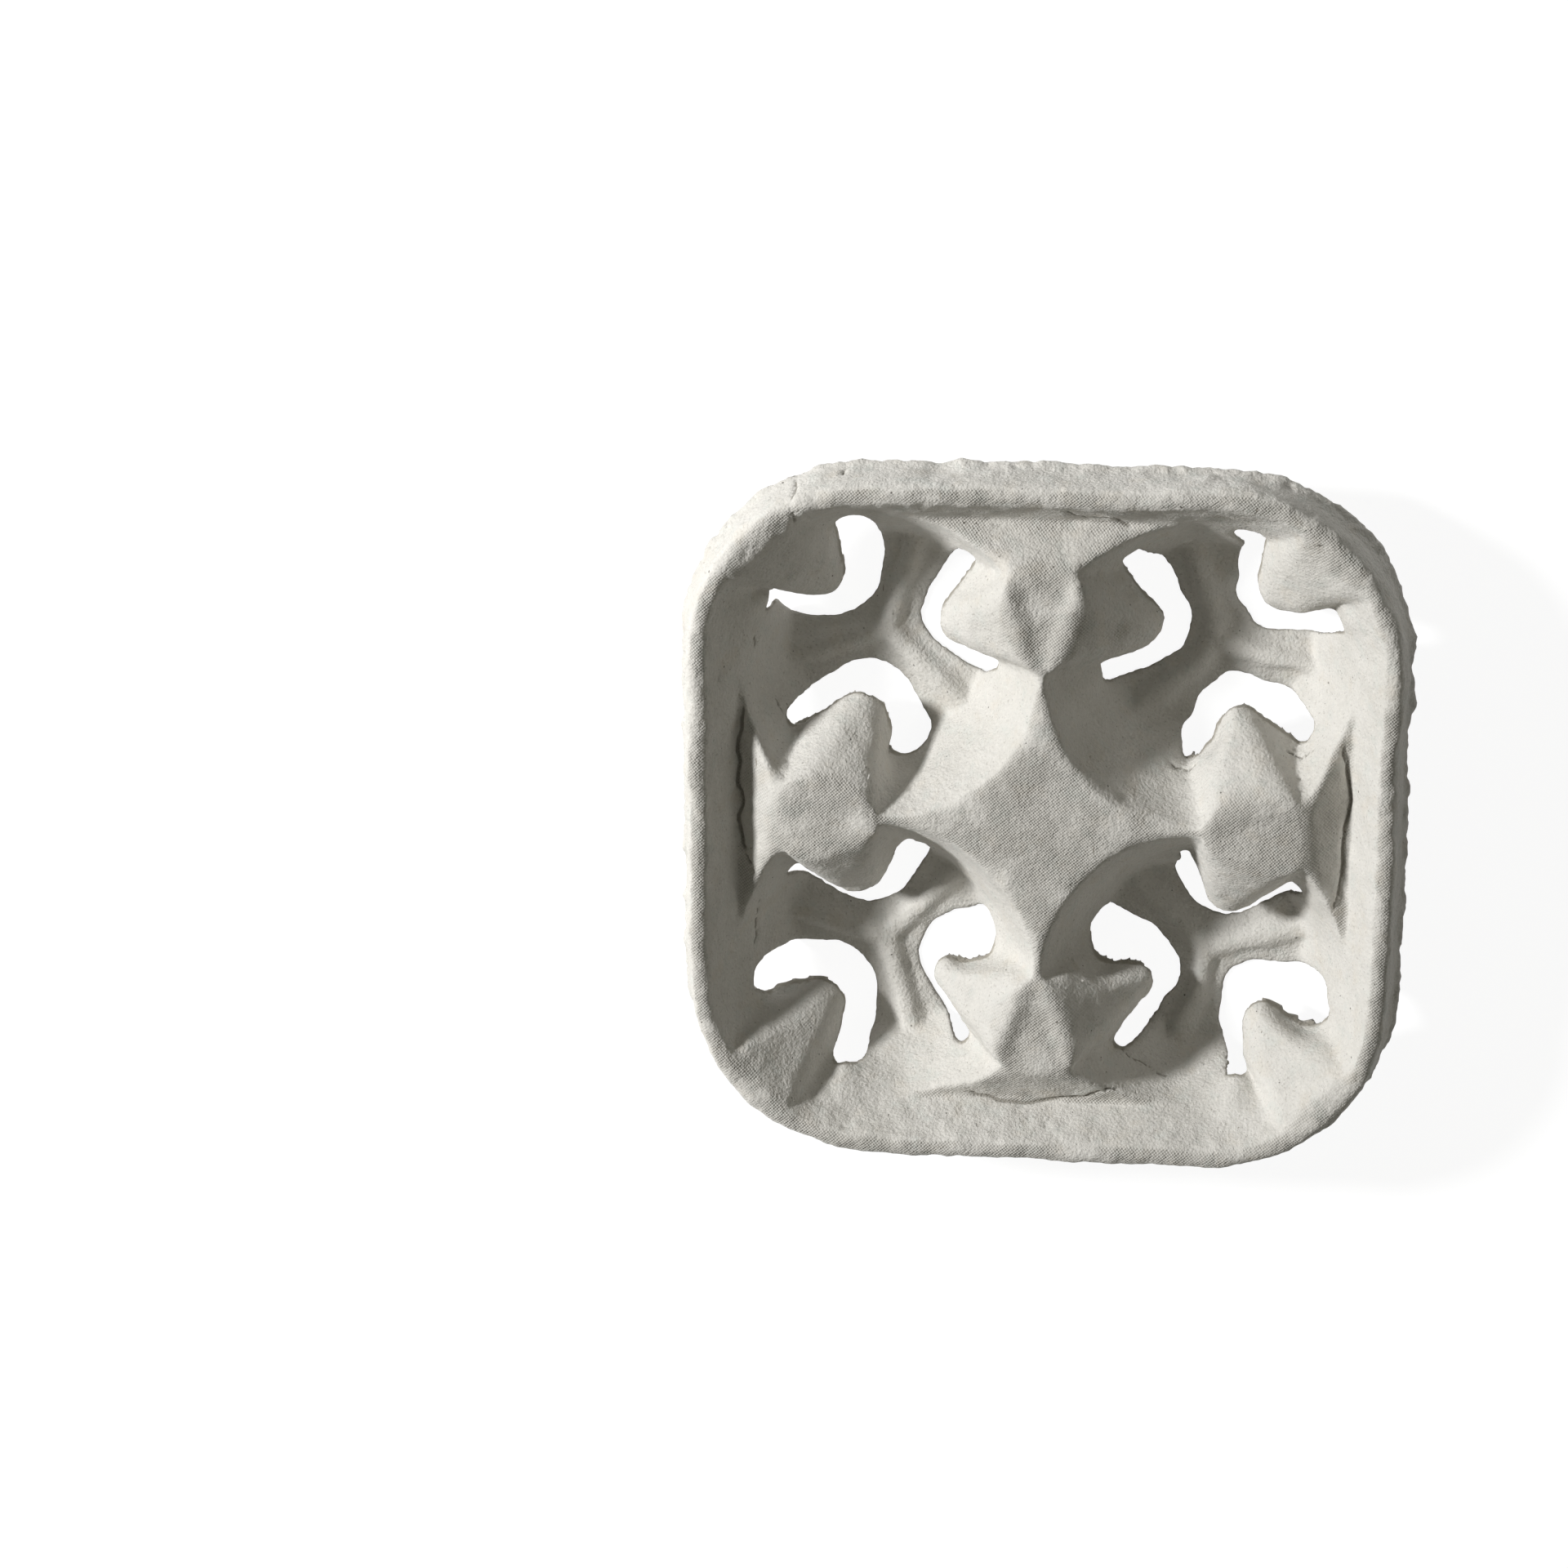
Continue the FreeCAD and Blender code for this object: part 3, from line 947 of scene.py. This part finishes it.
def fleck_group() -> bpy.types.NodeTree:
    """Node group that scatters small flecks.

    Returns:
        A group with inputs Place, Density, Size and Rarity and one output, Mask.
    """
    tree = bpy.data.node_groups.new("scattered_flecks", "ShaderNodeTree")
    tree.interface.new_socket("Place", in_out="INPUT", socket_type="NodeSocketVector")
    for name in ("Density", "Size", "Rarity"):
        tree.interface.new_socket(name, in_out="INPUT", socket_type="NodeSocketFloat")
    tree.interface.new_socket("Mask", in_out="OUTPUT", socket_type="NodeSocketFloat")
    sheet = Sheet(tree)
    given = sheet.add("NodeGroupInput")
    sockets = {"Vector": given.outputs["Place"], "Scale": given.outputs["Density"]}
    cells = sheet.add("ShaderNodeTexVoronoi", sockets)
    parts = sheet.add("ShaderNodeSeparateColor", {"Color": cells.outputs["Color"]})
    chosen = sheet.maths("GREATER_THAN", parts.outputs[0], given.outputs["Rarity"])
    size = sheet.maths("MULTIPLY", given.outputs["Size"], sheet.maths("ADD", parts.outputs[1], FLECK_LEAST))
    share = sheet.maths("DIVIDE", cells.outputs["Distance"], size)
    spot = sheet.step(share, *FLECK_EDGE)
    mask = sheet.maths("MULTIPLY", spot, chosen)
    sheet.add("NodeGroupOutput", {"Mask": mask})
    return tree


@dataclass(frozen=True)
class Mottle:
    """One layer of cloudy colour.

    Size is that of its clouds, and the span is where the noise turns from none of the tint to all of
    its share.
    """

    size: float
    detail: float
    span: Span
    share: float
    tint: Colour


@dataclass(frozen=True)
class Flecks:
    """One kind of scattered fleck.

    Density is in cells in a metre, size is a share of the cell, and rarity is the share of the cells
    that stay empty. Stretch scales the cells along their own axes, so a small one makes long fibres,
    and turn sets how the cells lie.
    """

    density: float
    size: float
    rarity: float
    share: float
    tint: Colour
    stretch: Place = (1.0, 1.0, 1.0)
    turn: Place = (0.0, 0.0, 0.0)


@dataclass(frozen=True)
class PulpFinish:
    """Matt moulded pulp: warm grey, mottled, flecked and fibrous, with the forming screen's weave, and
    painted shade along creases and the slots' cut edges, in the weave's pits and in fine pores.
    """

    name: str = "moulded_pulp"
    body: Colour = (0.655, 0.638, 0.602, 1.0)
    cloud: Colour = (0.575, 0.558, 0.515, 1.0)
    cool: Colour = (0.52, 0.575, 0.545, 1.0)
    warm: Colour = (0.60, 0.53, 0.43, 1.0)
    fibre: Colour = (0.74, 0.72, 0.67, 1.0)
    hair: Colour = (0.20, 0.17, 0.13, 1.0)
    dirt: Colour = (0.07, 0.06, 0.05, 1.0)
    dye: Colour = (0.50, 0.04, 0.07, 1.0)
    # Painted shade: the dark colour laid along the slots' cut edges, where their walls fall in shadow.
    cut: Colour = (0.30, 0.275, 0.225, 1.0)
    # Painted shade: the dark colour laid along the creases, in the weave's pits and in fine pores.
    crack: Colour = (0.16, 0.145, 0.115, 1.0)

    mottles: tuple[Mottle, ...] = (
        Mottle(18 * MM, 4.0, (0.35, 0.70), 0.5, cloud),
        Mottle(6 * MM, 2.0, (0.52, 0.72), 0.22, cool),
        Mottle(7.5 * MM, 2.0, (0.54, 0.74), 0.22, warm),
        Mottle(1.3 * MM, 3.0, (0.45, 0.75), 0.4, fibre),
        # Painted shade in fine pores.
        Mottle(0.8 * MM, 2.0, (0.58, 0.76), 0.35, crack),
    )
    flecks: tuple[Flecks, ...] = (
        Flecks(900.0, 0.20, 0.86, 0.4, fibre, (0.16, 1.0, 1.0), (0.3, 0.2, 0.7)),
        Flecks(700.0, 0.16, 0.975, 0.7, hair, (1.0, 0.14, 1.0), (0.2, 0.5, 0.3)),
        Flecks(300.0, 0.11, 0.90, 0.8, dirt),
        Flecks(520.0, 0.13, 0.92, 0.8, dirt),
        Flecks(150.0, 0.045, 0.995, 1.0, dye),
    )
    fleck_bend_scale: float = 400.0
    fleck_bend: float = 0.6 * MM

    cut_edge_shade_share: float = 0.8
    crease_shade_share: float = 0.7
    crease_shade_span: Span = (0.35, 0.95)
    screen_pitch: float = 1.02 * MM
    screen_angle: float = math.radians(4.0)
    screen_height: float = 0.20 * MM
    weave_pit_shade: float = 0.62
    screen_uneven: float = 2.4
    screen_uneven_size: float = 9 * MM
    patch_size: float = 12 * MM
    patch_span: Span = (0.25, 0.6)
    grain_size: float = 0.9 * MM
    grain_detail: float = 3.0
    grain_height: float = 0.42 * MM
    lump_size: float = 2.6 * MM
    lump_height: float = 0.35 * MM
    roughness: float = 0.93
    specular: float = 0.25
    sheen: float = 0.08

    def weave(self, sheet: Sheet, place: bpy.types.NodeSocket) -> bpy.types.NodeSocket:
        """Height of the wire screen's print, from 0 to 1, its wires a little uneven.

        Args:
            sheet: The material's nodes.
            place: Object coordinates.

        Returns:
            The height's socket.
        """
        turned = sheet.add("ShaderNodeMapping", {"Vector": place, "Rotation": (0.0, 0.0, self.screen_angle)})
        parts = sheet.add("ShaderNodeSeparateXYZ", {"Vector": turned.outputs[0]})
        noise = sheet.noise(place, self.screen_uneven_size)
        uneven = sheet.maths("MULTIPLY", noise, self.screen_uneven)
        waves = []
        for axis in (0, 1):
            phase = sheet.maths("MULTIPLY", parts.outputs[axis], 2.0 * math.pi / self.screen_pitch)
            waves.append(sheet.maths("SINE", sheet.maths("ADD", phase, uneven), 0.0))
        return sheet.maths("MULTIPLY_ADD", sheet.maths("MULTIPLY", *waves), 0.5)

    def scatter(self, sheet: Sheet, group: bpy.types.NodeTree, place: bpy.types.NodeSocket,
                flecks: Flecks) -> bpy.types.NodeSocket:
        """Scatter one kind of fleck.

        Args:
            sheet: The material's nodes.
            group: The fleck group.
            place: Object coordinates.
            flecks: The kind.

        Returns:
            The flecks' mask.
        """
        sockets = {"Vector": place, "Scale": self.fleck_bend_scale, "Detail": 0.0}
        bend = sheet.add("ShaderNodeTexNoise", sockets)
        sockets = {0: bend.outputs["Color"], "Scale": self.fleck_bend}
        bent = sheet.add("ShaderNodeVectorMath", sockets, operation="SCALE")
        moved = sheet.add("ShaderNodeVectorMath", {0: place, 1: bent.outputs[0]}, operation="ADD")
        sockets = {"Vector": moved.outputs[0], "Rotation": flecks.turn, "Scale": flecks.stretch}
        cells = sheet.add("ShaderNodeMapping", sockets)
        sockets = {"Place": cells.outputs[0], "Density": flecks.density, "Size": flecks.size,
                   "Rarity": flecks.rarity}
        return sheet.add("ShaderNodeGroup", sockets, node_tree=group).outputs["Mask"]

    def colour(self, sheet: Sheet, place: bpy.types.NodeSocket) -> bpy.types.NodeSocket:
        """Colour of the pulp: mottled by waste paper, with fibres, hairs, dirt, a rare speck of dye, and
        painted shade in fine pores.

        Args:
            sheet: The material's nodes.
            place: Object coordinates.

        Returns:
            The colour's socket.
        """
        colour = self.body
        for mottle in self.mottles:
            mask = sheet.step(sheet.noise(place, mottle.size, mottle.detail), *mottle.span)
            colour = sheet.lay(colour, mask, mottle.share, mottle.tint)
        group = fleck_group()
        for flecks in self.flecks:
            mask = self.scatter(sheet, group, place, flecks)
            colour = sheet.lay(colour, mask, flecks.share, flecks.tint)
        return colour

    def bump(self, sheet: Sheet, place: bpy.types.NodeSocket, weave: object) -> bpy.types.NodeSocket:
        """Relief too fine for the mesh: the screen's print, grain and small lumps.

        Args:
            sheet: The material's nodes.
            place: Object coordinates.
            weave: The screen's print where it shows, from 0 to 1.

        Returns:
            The bent normal's socket.
        """
        print_height = sheet.maths("MULTIPLY", weave, -self.screen_height)
        grain = sheet.noise(place, self.grain_size, self.grain_detail)
        grain = sheet.maths("MULTIPLY", grain, self.grain_height)
        lumps = sheet.maths("MULTIPLY", sheet.noise(place, self.lump_size), self.lump_height)
        height = sheet.maths("ADD", print_height, sheet.maths("ADD", grain, lumps))
        node = sheet.add("ShaderNodeBump", {"Height": height, "Strength": 1.0, "Distance": 1.0})
        return node.outputs["Normal"]

    def build(self) -> bpy.types.Material:
        """Make the material.

        Returns:
            The finished material.
        """
        material = bpy.data.materials.new(self.name)
        material.use_nodes = True
        sheet = Sheet(material.node_tree)
        place = sheet.add("ShaderNodeTexCoord").outputs["Object"]
        zones = {zone: sheet.add("ShaderNodeAttribute", attribute_name=zone.value).outputs["Fac"]
                 for zone in (Zone.SCREEN, Zone.CUT, Zone.CRACK)}

        # Painted shade along the slots' cut edges.
        colour = sheet.lay(self.colour(sheet, place), zones[Zone.CUT], self.cut_edge_shade_share, self.cut)
        # Painted shade along the creases.
        lines = sheet.step(zones[Zone.CRACK], *self.crease_shade_span)
        colour = sheet.lay(colour, lines, self.crease_shade_share, self.crack)
        patchy = sheet.step(sheet.noise(place, self.patch_size), *self.patch_span)
        shown = sheet.maths("MULTIPLY", zones[Zone.SCREEN], patchy)
        weave = sheet.maths("MULTIPLY", self.weave(sheet, place), shown)
        # Painted shade in the weave's pits.
        colour = sheet.lay(colour, weave, self.weave_pit_shade, self.crack)
        sheet.feed(material.node_tree.nodes["Principled BSDF"], {
            "Base Color": colour,
            "Normal": self.bump(sheet, place, weave),
            "Roughness": self.roughness,
            "Specular IOR Level": self.specular,
            "Sheen Weight": self.sheen,
        })
        return material


@dataclass
class Studio:
    """Plain white floor, a soft key light from the left and an even fill."""

    floor_size: float = 8.0
    floor_colour: Colour = (0.90, 0.90, 0.90, 1.0)
    floor_roughness: float = 0.9
    floor_specular: float = 0.1
    floor_glow: float = 0.80
    glow_strength: float = 1.15
    key_place: Place = (-1.60, 0.60, 1.27)
    key_size: float = 0.3
    key_power: float = 53.0
    fill: float = 0.125
    fill_colour: Colour = (1.0, 0.98, 0.85, 1.0)

    def build(self) -> None:
        """Make the floor, the light and the world."""
        self.floor()
        self.key()
        self.world()

    def floor(self) -> None:
        """Lay the floor under the feet: white to the eye, but it keeps a pale shadow of the tray."""
        deselect_all()
        bpy.ops.mesh.primitive_plane_add(size=self.floor_size)
        plane = bpy.context.object
        plane.name = "floor"
        material = bpy.data.materials.new("white_floor")
        material.use_nodes = True
        sheet = Sheet(material.node_tree)
        shader = material.node_tree.nodes["Principled BSDF"]
        sheet.feed(shader, {
            "Base Color": self.floor_colour,
            "Roughness": self.floor_roughness,
            "Specular IOR Level": self.floor_specular,
        })
        glow = sheet.add("ShaderNodeEmission", {"Color": WHITE, "Strength": self.glow_strength})
        share = sheet.maths("MULTIPLY", sheet.seen(), self.floor_glow)
        both = sheet.add("ShaderNodeMixShader", {0: share, 1: shader.outputs[0], 2: glow.outputs[0]})
        sheet.feed(material.node_tree.nodes["Material Output"], {"Surface": both.outputs[0]})
        plane.data.materials.append(material)

    def key(self) -> None:
        """Hang the soft light."""
        lamp = bpy.data.lights.new("key", "AREA")
        lamp.shape = "DISK"
        lamp.size = self.key_size
        lamp.energy = self.key_power
        holder = bpy.data.objects.new("key", lamp)
        bpy.context.scene.collection.objects.link(holder)
        holder.location = self.key_place
        holder.rotation_euler = Vector(self.key_place).to_track_quat("Z", "Y").to_euler()

    def world(self) -> None:
        """White to the eye, and an even soft light on the tray."""
        world = bpy.data.worlds.new("studio")
        world.use_nodes = True
        sheet = Sheet(world.node_tree)
        seen = sheet.seen()
        sheet.feed(world.node_tree.nodes["Background"], {
            "Color": sheet.mix(seen, self.fill_colour, WHITE),
            "Strength": sheet.maths("MAXIMUM", seen, self.fill),
        })
        bpy.context.scene.world = world


def main() -> None:
    """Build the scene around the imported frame, in order."""
    logging.basicConfig(level=logging.INFO, format="%(name)s: %(message)s")
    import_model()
    camera = PhotoCamera()
    camera.build()
    LOG.info("camera placed")
    tray = PulpSkin(camera).build()
    tray.data.materials.clear()
    tray.data.materials.append(PulpFinish().build())
    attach(tray, "root")
    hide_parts("carrier_tray")
    LOG.info("tray: %d faces", len(tray.data.polygons))
    Studio().build()
    LOG.info("studio lit")
    bpy.context.scene.view_settings.view_transform = "Standard"


if __name__ == "__main__":
    main()
